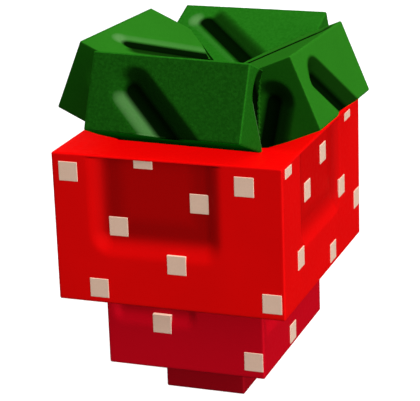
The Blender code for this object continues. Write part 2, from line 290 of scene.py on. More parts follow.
def hollowed_block(name, node, hollows, depth, rounding, step):
    """A rounded block the size of a packed one, with a hollow in each side."""
    low, high = [np.array(corner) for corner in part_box(node)]
    top_lines = (high[2] - RIM, high[2] - RIM - RIM_STEP)
    lines = [cut_lines(low[axis], high[axis], rounding, step, top_lines if axis == 2 else ())
             for axis in range(3)]
    points, faces = lined_box(lines)
    points, away, edge = round_box(points, low, high, rounding)
    hollow_shade_all = np.zeros(len(points))
    foot_shade_all = np.zeros(len(points))
    pressed = points.copy()
    for side in [side for side in OUTWARD if side in hollows]:
        across, down, inward = side_view(points, side, low, high)
        share = hollow_share(across, down, hollows[side])
        fade = np.clip(1.0 - inward / PRESS_FADE, 0.0, 1.0)
        pressed -= np.outer(share * fade * depth, OUTWARD[side])
        near = inward < NEAR_SKIN * PRESS_FADE
        # the painted shade of the floors and of the foot of the banks spans wider banks than the
        # press
        shade_banks = hollows[side][:3] + tuple(SHADE_REACH[side] * bank for bank in hollows[side][3:])
        shade_share = hollow_share(across, down, shade_banks) * near
        deep = np.clip((shade_share - SHADE_START) / SHADE_RANGE, 0.0, 1.0) * HOLLOW_SHADE[side]
        foot = shade_share * HOLLOW_SHADE[side] * foot_share(across, down, shade_banks)
        hollow_shade_all = np.maximum(hollow_shade_all, deep)
        foot_shade_all = np.maximum(foot_shade_all, foot)
    marks = {"hollow": hollow_shade_all, "foot": foot_shade_all, "edge": edge}
    piece = shaped_piece(name, pressed, faces, marks)
    # painted light and shade are weaker on the banks of the front and back
    gain = np.where(np.abs(away[:, 1]) > FACING, END_GAIN, 1.0)
    mark_painted_slope_light(piece, away, PAINTED_LIGHT_BLOCK_SIDES, gain=gain)
    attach(piece, "root")
    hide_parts(node)
    print(name, "has", len(faces), "faces")
    return piece


# %% [markdown]
# ## The three red blocks
# The body, the middle and the tip get smaller and darker downwards. The body's hollows
# lie under its top edge, and the middle's are shallower and start at its left edge. The
# tip is plain. One function makes all three, with lines fine enough for the banks.

# %% Make the body, the middle and the tip
BLOCK_ROUND = 0.0005
BLOCK_STEP = 0.0007
TIP_STEP = 0.0010                # the plain tip needs fewer lines
BODY_PRESS = 0.0016
MIDDLE_PRESS = 0.0010

# left, right and lower edges of each hollow, then the widths of those three banks
BODY_ENDS = (0.0089, 0.0445, 0.0266, 0.0058, 0.0048, 0.0065)
BODY_SIDES = (0.0135, 0.0482, 0.0257, 0.0045, 0.0034, 0.0056)
MIDDLE_ENDS = (0.0012, 0.0249, 0.0090, 0.0030, 0.0030, 0.0050)
MIDDLE_SIDES = (0.0012, 0.0289, 0.0092, 0.0030, 0.0030, 0.0045)

body_block = hollowed_block(
    "red_body", "body_block",
    {"front": BODY_ENDS, "back": BODY_ENDS, "left": BODY_SIDES, "right": BODY_SIDES},
    BODY_PRESS, BLOCK_ROUND, BLOCK_STEP)
middle_block = hollowed_block(
    "crimson_middle", "middle_block",
    {"front": MIDDLE_ENDS, "back": MIDDLE_ENDS, "left": MIDDLE_SIDES, "right": MIDDLE_SIDES},
    MIDDLE_PRESS, BLOCK_ROUND, BLOCK_STEP)
tip_block = hollowed_block("dark_tip", "tip_block", {}, 0.0, BLOCK_ROUND, TIP_STEP)

# %% [markdown]
# ## Grooves in a leaf
# A slanting groove with a round start runs off the edge of each face of a leaf. The
# grooves on the outer end and the flanks are the same on all four leaves. Those on the
# tops are shallower, and only the front and back ones match. Like a hollow, a groove is a
# share that rises from 0 at its rim to 1 along its bottom line.

# %% Lay out the grooves
GROOVE_DEPTH = 0.0020
GROOVE_TOP_DEPTH = 0.0008
GROOVE_HALF = 0.0060             # half the width of a groove
GROOVE_CORE = 0.0004             # half the width of its bottom
GROOVE_FADE = 0.0080             # depth over which the press fades out
GROOVE_CURVED, GROOVE_STRAIGHT = 0.55, 0.45     # how the walls of a groove are mixed

# for each face, the start of its groove and a point further along it
LEAF_GROOVES = {
    "outer": ((-0.0090, 0.0010), (0.0010, -0.0090)),
    "side_a": ((0.0102, 0.0042), (0.0160, -0.0008)),
    "side_b": ((0.0092, 0.0004), (0.0138, -0.0064)),
}
TOP_GROOVES = {
    "front": ((0.0118, 0.0068), (-0.0035, 0.0212)),
    "right": ((0.0135, 0.0064), (0.0050, 0.0214)),
    "back": ((0.0118, 0.0068), (-0.0035, 0.0212)),
    "left": ((0.0067, 0.0080), (-0.0096, 0.0232)),
}


def groove_share(u, v, start, along):
    """0 outside a groove and 1 along its bottom line."""
    heading = np.array(along) - np.array(start)
    heading = heading / np.linalg.norm(heading)
    du, dv = u - start[0], v - start[1]
    run = np.maximum(du * heading[0] + dv * heading[1], 0.0)
    distance = np.hypot(du - run * heading[0], dv - run * heading[1])
    return np.clip((GROOVE_HALF - distance) / (GROOVE_HALF - GROOVE_CORE), 0.0, 1.0)


print("grooves on a leaf:", len(LEAF_GROOVES) + 1)

# %% [markdown]
# ## One leaf block
# All four leaves start as the same thick block. It is made in its own flat frame, where
# x runs across it, y runs inwards and z is up, because the grooves are simple to press
# there. The leaf is put in its place afterwards.

# %% Shape one leaf block
LEAF_WIDTH = 0.0402
LEAF_REACH = 0.0300
LEAF_THICK = 0.0195
LEAF_ROUND = 0.0005
LEAF_STEP = 0.0006
RIGHT_TOP_SHADE_WIDTH = 1.35            # the painted shade in the right leaf's top groove is drawn wider


def leaf_shape(side, step, rounding):
    """Points, faces and marks of one leaf block, lying flat in its own frame."""
    low = np.array((-LEAF_WIDTH / 2, 0.0, -LEAF_THICK / 2))
    high = np.array((LEAF_WIDTH / 2, LEAF_REACH, LEAF_THICK / 2))
    lines = [cut_lines(low[axis], high[axis], rounding, step) for axis in range(3)]
    points, faces = lined_box(lines)
    points, away, edge = round_box(points, low, high, rounding)
    x, y, z = points.T
    seen = {
        "outer": (x, z, y, (0, 1, 0)),
        "top": (x, y, high[2] - z, (0, 0, -1)),
        "side_a": (y, z, high[0] - x, (-1, 0, 0)),
        "side_b": (y, z, x - low[0], (1, 0, 0)),
    }
    pressed = points.copy()
    groove = np.zeros(len(points))
    for face, (start, along) in {**LEAF_GROOVES, "top": TOP_GROOVES[side]}.items():
        u, v, inward, push = seen[face]
        share = groove_share(u, v, start, along)
        fade = np.clip(1.0 - inward / GROOVE_FADE, 0.0, 1.0)
        depth = GROOVE_TOP_DEPTH if face == "top" else GROOVE_DEPTH
        amount = depth * (GROOVE_CURVED * soft_step(share) + GROOVE_STRAIGHT * share) * fade
        pressed += np.outer(amount, np.array(push, float))
        wide = RIGHT_TOP_SHADE_WIDTH if (side, face) == ("right", "top") else 1.0
        near = inward < NEAR_SKIN * GROOVE_FADE
        groove = np.maximum(groove, np.minimum(wide * share, 1.0) * near)
    # groove marks where the groove bottoms get painted shade, and under where the underside gets
    # painted light
    marks = {"groove": groove, "edge": edge, "under": np.maximum(-away[:, 2], 0.0)}
    return pressed, faces, away, marks


print("a leaf before it is cut has", len(leaf_shape("front", LEAF_STEP, LEAF_ROUND)[1]), "faces")

# %% [markdown]
# ## A leaf's place in the crown
# Each leaf leans outwards, so that its outer end is high over the side of the body. On a
# hand-set ornament no two sit quite alike, so every leaf has its own small turn, roll
# and lift. One matrix holds all of that for one side.

# %% Lean a leaf into its place
LEAF_TILT = math.radians(23.0)
LEAF_OUT = {"front": 0.0342, "right": 0.0314, "back": 0.0342, "left": 0.0314}
LEAF_RISE = 0.0152
LEAF_LIFT = {"front": 0.0007, "right": -0.0002, "back": -0.0006, "left": 0.0001}
LEAF_TURN = {"front": -0.4, "right": -1.7, "back": -2.4, "left": -4.6}    # degrees, upright axis
LEAF_ROLL = {"front": -1.3, "right": -0.5, "back": -0.3, "left": 0.3}     # degrees, own length
BODY_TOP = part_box("body_block")[1].z


def leaf_outward(side):
    """The level direction a leaf points in, a little off square."""
    return Matrix.Rotation(math.radians(LEAF_TURN[side]), 3, "Z") @ Vector(OUTWARD[side])


def leaf_place(side):
    """The matrix that leans a flat leaf outwards on its side of the crown."""
    outward = Vector(OUTWARD[side])
    across = Vector((0, 0, 1)).cross(outward)
    inward = -(outward * math.cos(LEAF_TILT) + Vector((0, 0, 1)) * math.sin(LEAF_TILT))
    centre = outward * LEAF_OUT[side]
    centre.z = BODY_TOP + LEAF_RISE + LEAF_LIFT[side]
    leant = Matrix((across, inward, across.cross(inward))).transposed().to_4x4()
    square = Matrix.Translation(centre) @ leant
    middle = Matrix.Translation(square @ Vector((0, LEAF_REACH / 2, 0)))
    rolled = Matrix.Rotation(math.radians(LEAF_ROLL[side]), 4, outward)
    turned = Matrix.Rotation(math.radians(LEAF_TURN[side]), 4, "Z")
    return turned @ middle @ rolled @ middle.inverted() @ square


print("height of the body's top in mm:", round(1000 * BODY_TOP, 1))

# %% [markdown]
# ## Tools for cutting
# A leaf is cut in two ways. A plane slices off what is below the body's top, and a
# boolean takes away what a neighbour keeps. Both are closed afterwards, and the count of
# open edges shows that they are. Sharp edges are then marked, so that the flat faces
# stay flat and only the gentle banks shade smoothly.

# %% Write the cutting tools
def slice_and_close(form, point, normal):
    """Slice an open form with a plane, drop the side behind it, and close the cut."""
    parts = list(form.verts) + list(form.edges) + list(form.faces)
    sliced = bmesh.ops.bisect_plane(form, geom=parts, plane_co=point, plane_no=normal,
                                    clear_inner=True)
    rim = [item for item in sliced["geom_cut"] if isinstance(item, bmesh.types.BMEdge)]
    bmesh.ops.holes_fill(form, edges=rim, sides=0)


def slice_off(piece, point, normal):
    """Slice a piece with a plane, drop the side the normal points away from, and close it."""
    form = bmesh.new()
    form.from_mesh(piece.data)
    slice_and_close(form, point, normal)
    form.to_mesh(piece.data)
    form.free()


def keep_evaluated(piece):
    """Replace a piece's mesh by what its modifiers make of it, and drop the modifiers."""
    graph = bpy.context.evaluated_depsgraph_get()
    finished = bpy.data.meshes.new_from_object(
        piece.evaluated_get(graph), preserve_all_data_layers=True, depsgraph=graph)
    piece.modifiers.clear()
    piece.data = finished


def take_away(piece, form):
    """Cut a bmesh out of a piece and keep the result as a plain mesh."""
    bmesh.ops.recalc_face_normals(form, faces=form.faces)
    mesh = bpy.data.meshes.new("cutter")
    form.to_mesh(mesh)
    form.free()
    cutter = bpy.data.objects.new("cutter", mesh)
    bpy.context.scene.collection.objects.link(cutter)
    boolean = piece.modifiers.new("cut", "BOOLEAN")
    boolean.operation = "DIFFERENCE"
    boolean.solver = "EXACT"
    boolean.object = cutter
    keep_evaluated(piece)
    bpy.data.objects.remove(cutter)


def crease(piece, angle):
    """Shade smoothly over gentle bends and keep every sharper edge crisp."""
    form = bmesh.new()
    form.from_mesh(piece.data)
    for edge in form.edges:
        edge.smooth = edge.calc_face_angle(0.0) < angle
    for face in form.faces:
        face.smooth = True
    form.to_mesh(piece.data)
    form.free()


def open_edges(piece):
    """How many edges do not join exactly two faces. A closed piece has none."""
    form = bmesh.new()
    form.from_mesh(piece.data)
    count = sum(1 for edge in form.edges if len(edge.link_faces) != 2)
    form.free()
    return count


print("open edges of the three red blocks:",
      [open_edges(block) for block in (body_block, middle_block, tip_block)])

# %% [markdown]
# ## Mitres
# The leaf blocks would pass through each other near the middle. Where two overlap, each
# keeps the part on its own side of a line half way between them, as mitred boards do.
# The cutter for a leaf is the part that its neighbour keeps, so a boolean takes exactly
# that away.

# %% Work out what each leaf keeps
MITRE_GAP = 0.00004
PAST_MIDDLE = 0.0150             # how far a leaf's box is carried on past the crown's middle


def plain_box_form(low, high, place=None):
    """A plain box as an open bmesh."""
    form = bmesh.new()
    size = Vector(high) - Vector(low)
    put = Matrix.Translation((Vector(low) + Vector(high)) / 2) @ Matrix.Diagonal((*size, 1.0))
    bmesh.ops.create_cube(form, size=1.0, matrix=put if place is None else place @ put)
    return form


def top_over_middle(side):
    """Height of a leaf's sloping top, continued to the middle of the crown."""
    point = leaf_place(side) @ Vector((0, 0, LEAF_THICK / 2))
    return point.z - point.dot(leaf_outward(side)) * math.tan(LEAF_TILT)


def kept_by(owner, other):
    """The part of the owner's box that it keeps where it meets the other leaf."""
    grow = MITRE_GAP
    form = plain_box_form((-LEAF_WIDTH / 2 - grow, -grow, -LEAF_THICK / 2 - grow),
                          (LEAF_WIDTH / 2 + grow, LEAF_REACH + PAST_MIDDLE, LEAF_THICK / 2 + grow),
                          leaf_place(owner))
    shift = (top_over_middle(other) - top_over_middle(owner)) / math.tan(LEAF_TILT)
    apart = leaf_outward(owner) - leaf_outward(other)
    normal = apart.normalized()
    slice_and_close(form, normal * (shift / apart.length - grow / 2), normal)
    return form


print("top of each leaf over the middle in mm:",
      {side: round(1000 * top_over_middle(side), 1) for side in OUTWARD})

# %% [markdown]
# ## The finished leaves
# Each leaf is shaped flat, moved to its place and given its painted light and shade there,
# because the way of the painted light is a direction in the room. Then it is seated on the
# body, kept to its own half where it is a left or right leaf, and mitred with both neighbours.

# %% Cut the leaves so that they meet
SIDES = ("front", "right", "back", "left")
SEAT_GAP = 0.00004
CREASE_ANGLE = math.radians(32)
LEAF_PAINTED_LIGHT = {"front": 1.0, "right": 0.0, "back": 0.95, "left": 1.05}      # strength of the painted light on the banks
FLANK_GAIN = {"front": 1.0, "right": 1.0, "back": 1.0, "left": 0.3}       # strength of the painted light and shade on the flanks' banks
END_SHADE_START, END_SHADE_RANGE = 0.76, 0.12     # faces that look front or back get painted shade and more grain
leaves = {}
for index, side in enumerate(SIDES):
    place = np.array(leaf_place(side))
    leaf_points, leaf_faces, leaf_away, leaf_marks = leaf_shape(side, LEAF_STEP, LEAF_ROUND)
    placed = leaf_points @ place[:3, :3].T + place[:3, 3]
    facing = leaf_away @ place[:3, :3].T
    # faces that look front or back get painted shade with grain
    end_shade_and_grain = soft_step((np.abs(facing[:, 1]) - END_SHADE_START) / END_SHADE_RANGE)
    leaf = shaped_piece("leaf_block_" + side, placed, leaf_faces, {**leaf_marks, "end": end_shade_and_grain})
    # the shallow top grooves and the flanks get their own strength of painted light and shade
    gain = np.where(leaf_away[:, 2] > FACING, GROOVE_DEPTH / GROOVE_TOP_DEPTH, 1.0)
    gain = np.where(np.abs(leaf_away[:, 0]) > FACING, FLANK_GAIN[side], gain)
    mark_painted_slope_light(leaf, facing, PAINTED_LIGHT_LEAF_SIDES, LEAF_PAINTED_LIGHT[side], gain)
    slice_off(leaf, (0, 0, BODY_TOP + SEAT_GAP), (0, 0, 1))
    if side in ("left", "right"):
        slice_off(leaf, Vector(OUTWARD[side]) * MITRE_GAP / 2, OUTWARD[side])
    for neighbour in (SIDES[(index + 1) % 4], SIDES[(index + 3) % 4]):
        take_away(leaf, kept_by(neighbour, side))
    crease(leaf, CREASE_ANGLE)
    leaves[side] = leaf
    print(leaf.name, "has", len(leaf.data.polygons), "faces and", open_edges(leaf), "open edges")

# %% [markdown]
# ## Leaf grain
# The front and back leaves have a fine leathery grain that catches the light, and the
# other two are almost smooth. A noise moves each point a little along its normal. A
# small Geometry Nodes tree does it, so the size and height of the grain stay as two
# named numbers.

# %% Build the tree that grows the grain
def node_tree_with(name, inputs):
    """An empty Geometry Nodes tree with a mesh in and out and some named inputs."""
    tree = bpy.data.node_groups.new(name, "GeometryNodeTree")
    tree.interface.new_socket("Geometry", in_out="INPUT", socket_type="NodeSocketGeometry")
    for label, kind, value in inputs:
        socket = tree.interface.new_socket(label, in_out="INPUT", socket_type=kind)
        if value is not None:
            socket.default_value = value
    tree.interface.new_socket("Geometry", in_out="OUTPUT", socket_type="NodeSocketGeometry")
    return tree, tree.nodes.new("NodeGroupInput"), tree.nodes.new("NodeGroupOutput")


def set_inputs(modifier, tree, values):
    """Set a modifier's inputs by the identifier behind each label."""
    for item in tree.interface.items_tree:
        if item.item_type == "SOCKET" and item.in_out == "INPUT" and item.name in values:
            modifier[item.identifier] = values[item.name]


def grain_tree():
    """Moves points along their normals by a noise of one size and height."""
    tree, given, out = node_tree_with("leaf_grain", [
        ("Grain Size", "NodeSocketFloat", 0.0012),
        ("Grain Height", "NodeSocketFloat", 0.0001),
        ("Seed", "NodeSocketFloat", 3.0)])
    nodes, links = tree.nodes, tree.links
    place = nodes.new("GeometryNodeInputPosition")
    scaled = nodes.new("ShaderNodeVectorMath")
    scaled.operation = "SCALE"
    inverse = nodes.new("ShaderNodeMath")
    inverse.operation = "DIVIDE"
    inverse.inputs[0].default_value = 1.0
    links.new(given.outputs["Grain Size"], inverse.inputs[1])
    links.new(place.outputs[0], scaled.inputs[0])
    links.new(inverse.outputs[0], scaled.inputs["Scale"])
    noise = nodes.new("ShaderNodeTexNoise")
    noise.noise_dimensions = "4D"
    noise.inputs["Scale"].default_value = 1.0
    noise.inputs["Detail"].default_value = 3.0
    noise.inputs["Roughness"].default_value = 0.6
    links.new(scaled.outputs[0], noise.inputs["Vector"])
    links.new(given.outputs["Seed"], noise.inputs["W"])
    centre = nodes.new("ShaderNodeMath")
    centre.operation = "SUBTRACT"
    centre.inputs[1].default_value = 0.5
    links.new(noise.outputs[0], centre.inputs[0])
    height = nodes.new("ShaderNodeMath")
    height.operation = "MULTIPLY"
    links.new(centre.outputs[0], height.inputs[0])
    links.new(given.outputs["Grain Height"], height.inputs[1])
    normal = nodes.new("GeometryNodeInputNormal")
    along = nodes.new("ShaderNodeVectorMath")
    along.operation = "SCALE"
    links.new(normal.outputs[0], along.inputs[0])
    links.new(height.outputs[0], along.inputs["Scale"])
    move = nodes.new("GeometryNodeSetPosition")
    links.new(given.outputs["Geometry"], move.inputs["Geometry"])
    links.new(along.outputs[0], move.inputs["Offset"])
    links.new(move.outputs[0], out.inputs[0])
    return tree


grain = grain_tree()
print("nodes in the grain tree:", len(grain.nodes))

# %% Grow the grain on the leaves
GRAIN_SIZE = 0.0011
GRAIN_SEED = 3.0
LEAF_GRAIN = {"front": 0.00022, "back": 0.00016, "left": 0.00004, "right": 0.00004}

for side, leaf in leaves.items():
    grow = leaf.modifiers.new("grain", "NODES")
    grow.node_group = grain
    set_inputs(grow, grain, {"Grain Size": GRAIN_SIZE, "Grain Height": LEAF_GRAIN[side],
                             "Seed": GRAIN_SEED + SIDES.index(side)})
    keep_evaluated(leaf)
    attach(leaf, "root")
    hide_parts("leaf_" + side)
print("grain heights in mm:", {side: 1000 * height for side, height in LEAF_GRAIN.items()})

# %% [markdown]
# ## Seed tiles
# Every seed is the same small square tile. One tile with rounded edges is made, and a
# Geometry Nodes tree copies it to a point for each seed. Six tiles are cut short where
# they meet the body's top edge, so each point also carries a size.

# %% Make one tile
TILE_SIZE = 0.0050
TILE_THICK = 0.0020
TILE_ROUND = 0.00012

tile_form = bmesh.new()
bmesh.ops.create_cube(tile_form, size=1.0,
                      matrix=Matrix.Diagonal((TILE_SIZE, TILE_SIZE, TILE_THICK, 1.0)))
bmesh.ops.bevel(tile_form, geom=list(tile_form.edges), offset=TILE_ROUND, segments=2,
                affect="EDGES", profile=0.5)
tile_mesh = bpy.data.meshes.new("one_tile")
tile_form.to_mesh(tile_mesh)
tile_form.free()
one_tile = bpy.data.objects.new("one_tile", tile_mesh)
bpy.context.scene.collection.objects.link(one_tile)
print("faces on one tile:", len(tile_mesh.polygons))


# %% Build the tree that copies the tile
def tile_tree():
    """Copies a tile to each point, turned and sized by the numbers stored there."""
    tree, given, out = node_tree_with("seed_tiles", [
        ("Tile", "NodeSocketObject", None),
        ("Finish", "NodeSocketMaterial", None)])
    nodes, links = tree.nodes, tree.links
    info = nodes.new("GeometryNodeObjectInfo")
    links.new(given.outputs["Tile"], info.inputs["Object"])
    turn = nodes.new("GeometryNodeInputNamedAttribute")
    turn.data_type = "FLOAT_VECTOR"
    turn.inputs["Name"].default_value = "turn"
    size = nodes.new("GeometryNodeInputNamedAttribute")
    size.data_type = "FLOAT_VECTOR"
    size.inputs["Name"].default_value = "size"
    copies = nodes.new("GeometryNodeInstanceOnPoints")
    links.new(given.outputs["Geometry"], copies.inputs["Points"])
    links.new(info.outputs["Geometry"], copies.inputs["Instance"])
    links.new(turn.outputs["Attribute"], copies.inputs["Rotation"])
    links.new(size.outputs["Attribute"], copies.inputs["Scale"])
    real = nodes.new("GeometryNodeRealizeInstances")
    links.new(copies.outputs[0], real.inputs[0])
    finish = nodes.new("GeometryNodeSetMaterial")
    links.new(real.outputs[0], finish.inputs["Geometry"])
    links.new(given.outputs["Finish"], finish.inputs["Material"])
    links.new(finish.outputs[0], out.inputs[0])
    return tree


tiles = tile_tree()
print("nodes in the tile tree:", len(tiles.nodes))

# %% [markdown]
# ## Where the seeds sit
# The packed part already has a solid for every seed, so its box gives the centre and the
# height of each tile. The tile is turned to face out of its side of the block. All the
# seeds of one block become one piece, because they share one finish.

# %% Copy the tile to every seed place
TILE_OVERSIZE = 1.02             # the tiles fill their pockets


def tile_spots(block):
    """Centre, turn and size of each packed seed tile on one block."""
    spots = []
    for side in SIDES:
        outward = Vector(OUTWARD[side])
        across = Vector((0, 0, 1)).cross(outward)
        turned = Matrix((across, Vector((0, 0, 1)), outward)).transposed().to_euler()
        for node in sorted(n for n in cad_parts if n.startswith(block + "_seed_" + side)):
            low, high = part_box(node)
            height = (high.z - low.z) / TILE_SIZE * TILE_OVERSIZE
            spots.append((node, (low + high) / 2, turned, height))
    return spots


seed_finish = bpy.data.materials.new("seed_tan")
seed_sets = []
for block in ("body", "middle"):
    spots = tile_spots(block)
    spot_mesh = bpy.data.meshes.new(block + "_seed_spots")
    spot_mesh.from_pydata([spot[1] for spot in spots], [], [])
    turn = spot_mesh.attributes.new("turn", "FLOAT_VECTOR", "POINT")
    turn.data.foreach_set("vector", [value for spot in spots for value in spot[2]])
    size = spot_mesh.attributes.new("size", "FLOAT_VECTOR", "POINT")
    size.data.foreach_set("vector", [value for spot in spots for value in (1.0, spot[3], 1.0)])
    seeds = bpy.data.objects.new(block + "_seed_tiles", spot_mesh)
    bpy.context.scene.collection.objects.link(seeds)
    copy = seeds.modifiers.new("tiles", "NODES")
    copy.node_group = tiles
    set_inputs(copy, tiles, {"Tile": one_tile, "Finish": seed_finish})
    keep_evaluated(seeds)
    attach(seeds, "root")
    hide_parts(*[spot[0] for spot in spots])
    seed_sets.append(seeds)
    print(seeds.name, "has", len(spots), "tiles and", len(seeds.data.polygons), "faces")
bpy.data.objects.remove(one_tile)

# %% [markdown]
# ## Finishes
# The blocks are moulded plastic with a matte skin. A finish here is a base colour with
# slow and fine variation, painted shade in hollows and grooves, painted light and shade on
# banks, slightly worn edges, and a bump too small to model. The marks stored on the points say
# where each applies.
# Many nodes are alike, so a small class makes each kind in one line.

# %% Write the helpers for a finish
class Finish:
    """Short helpers for building one material's nodes."""

    def __init__(self, material):
        material.use_nodes = True
        self.nodes = material.node_tree.nodes
        self.links = material.node_tree.links
        self.nodes.clear()
        self.shader = self.nodes.new("ShaderNodeBsdfPrincipled")
        output = self.nodes.new("ShaderNodeOutputMaterial")
        self.links.new(self.shader.outputs[0], output.inputs[0])
        self.place = self.nodes.new("ShaderNodeTexCoord").outputs["Object"]

    def mark(self, name):
        node = self.nodes.new("ShaderNodeAttribute")
        node.attribute_name = name
        return node.outputs["Fac"]

    def noise(self, scale, detail=3.0, rough=0.55):
        node = self.nodes.new("ShaderNodeTexNoise")
        node.inputs["Scale"].default_value = scale
        node.inputs["Detail"].default_value = detail
        node.inputs["Roughness"].default_value = rough
        self.links.new(self.place, node.inputs["Vector"])
        return node.outputs[0]

    def ramp(self, value, low, high, to_low=0.0, to_high=1.0):
        node = self.nodes.new("ShaderNodeMapRange")
        node.inputs["From Min"].default_value = low
        node.inputs["From Max"].default_value = high
        node.inputs["To Min"].default_value = to_low
        node.inputs["To Max"].default_value = to_high
        self.links.new(value, node.inputs["Value"])
        return node.outputs[0]

    def times(self, a, b):
        node = self.nodes.new("ShaderNodeMath")
        node.operation = "MULTIPLY"
        for socket, value in zip(node.inputs, (a, b)):
            if isinstance(value, float):
                socket.default_value = value
            else:
                self.links.new(value, socket)
        return node.outputs[0]

    def mix(self, share, a, b):
        node = self.nodes.new("ShaderNodeMix")
        node.data_type = "RGBA"
        self.links.new(share, node.inputs["Factor"])
        for socket, value in ((node.inputs[6], a), (node.inputs[7], b)):
            if isinstance(value, tuple):
                socket.default_value = (*value, 1.0)
            else:
                self.links.new(value, socket)
        return node.outputs[2]

    def bump(self, height, strength, distance):
        node = self.nodes.new("ShaderNodeBump")
        node.inputs["Strength"].default_value = strength
        node.inputs["Distance"].default_value = distance
        self.links.new(height, node.inputs["Height"])
        self.links.new(node.outputs[0], self.shader.inputs["Normal"])

    def colour(self, value):
        self.links.new(value, self.shader.inputs["Base Color"])

    def roughness(self, value):
        self.links.new(value, self.shader.inputs["Roughness"])


print("kinds of helper:", [name for name in vars(Finish) if not name.startswith("_")])

# %% [markdown]
# ## Moulded red
# The three reds share one recipe with four colours each: the face, a deeper one for
# the painted shade in hollows and on banks that turn away, a darker one for the painted
# shade at the foot of the banks, and a paler one for rubbed edges and for the painted
# light on banks that turn towards the light. The skin is matte, with so little gloss that
# the top does not glaze over.

# %% Make the three reds
SLOW_RED, FINE_RED = 0.12, 0.04      # strength of the slow and fine variation
HOLLOW_SHADE_SHARE = 0.88                  # how far a hollow's floor goes to the deeper red of its painted shade
FOOT_SHADE_SHARE = 0.72                    # how far the foot of a bank goes to the dark red of its painted shade
PAINTED_SHADE_RED, PAINTED_LIGHT_RED = 0.50, 0.35   # the same for painted shade on banks that turn away and painted light on those that turn towards
RUBBED_RED = 0.25                    # wear on the edges
RED_GLOSS = 0.08


def red_finish(name, face, deep, dark, pale):
    """Matte moulded red: painted shade in hollows and at the foot of banks, painted light and
    shade on banks, a touch paler on rubbed edges.
    """
    material = bpy.data.materials.new(name)
    f = Finish(material)
    slow = f.ramp(f.noise(45.0, 2.0), 0.35, 0.65)
    fine = f.ramp(f.noise(900.0, 4.0, 0.6), 0.3, 0.7)
    base = f.mix(f.times(slow, SLOW_RED), face, deep)
    base = f.mix(f.times(fine, FINE_RED), base, pale)
    # painted shade in the hollows, at the foot of the banks and on banks that turn away, and
    # painted light on banks that turn towards the light
    base = f.mix(f.times(f.mark("hollow"), HOLLOW_SHADE_SHARE), base, deep)
    base = f.mix(f.ramp(f.mark("foot"), 0.0, 0.80, 0.0, FOOT_SHADE_SHARE), base, dark)
    base = f.mix(f.ramp(f.mark("away"), 0.05, 0.30, 0.0, PAINTED_SHADE_RED), base, deep)
    base = f.mix(f.ramp(f.mark("towards"), 0.05, 0.30, 0.0, PAINTED_LIGHT_RED), base, pale)
    rub = f.times(f.mark("edge"), f.ramp(f.noise(260.0, 4.0), 0.45, 0.7))
    base = f.mix(f.times(rub, RUBBED_RED), base, pale)
    f.colour(base)
    f.roughness(f.ramp(fine, 0.0, 1.0, 0.50, 0.64))
    f.bump(f.noise(1400.0, 3.0), 0.10, 0.00008)
    f.shader.inputs["Specular IOR Level"].default_value = RED_GLOSS
    return material


body_red = red_finish("body_red", (0.675, 0.0006, 0.0006), (0.325, 0.0002, 0.0002),
                      (0.26, 0.0002, 0.0002), (0.74, 0.002, 0.002))
middle_crimson = red_finish("middle_crimson", (0.47, 0.0004, 0.0074), (0.40, 0.0003, 0.0060),
                            (0.33, 0.0003, 0.0050), (0.58, 0.001, 0.014))
tip_dark = red_finish("tip_dark_crimson", (0.270, 0.0004, 0.0050), (0.22, 0.0003, 0.0040),
                      (0.18, 0.0003, 0.0035), (0.34, 0.001, 0.008))
print("reds:", [finish.name for finish in (body_red, middle_crimson, tip_dark)])

# %% [markdown]
# ## Leaf green
# The greens have more in them than the reds: a fibre mottling, painted shade that is
# almost black in the groove bottoms, a painted pale highlight on the banks that turn
# towards the light, painted shade on the faces that look front or back, and painted light
# on the underside. The mottling is strong on the grained leaves and faint on the smooth ones.

# %% Make the two greens
SLOW_GREEN = 0.15
# painted pale highlight for banks that turn towards the light, mottled between two tones
PAINTED_HIGHLIGHT_PALE, PAINTED_HIGHLIGHT_DEEP = (0.080, 0.20, 0.060), (0.055, 0.17, 0.04)
# painted light on the leaves' undersides
UNDERSIDE_PAINTED_LIGHT = (0.0006, 0.26, 0.0020)
# painted shade for banks that turn away, and darker painted shade for the groove bottoms
GROOVE_SHADE = (0.0015, 0.010, 0.0006)
GROOVE_BOTTOM_SHADE = (0.0004, 0.0025, 0.0002)
# shares of the painted shade on faces that look front or back, of the painted shade on banks that
# turn away, of the painted highlight, of the painted shade in groove bottoms, and of the edge wear
END_SHADE_SHARE, SHADED_BANK_GREEN, PAINTED_HIGHLIGHT_SHARE, BOTTOM_SHADE_SHARE, RUBBED_GREEN = 0.92, 0.88, 0.75, 0.98, 0.2
LEAF_GLOSS = 0.0                     # leaf skin has no gloss at low angles


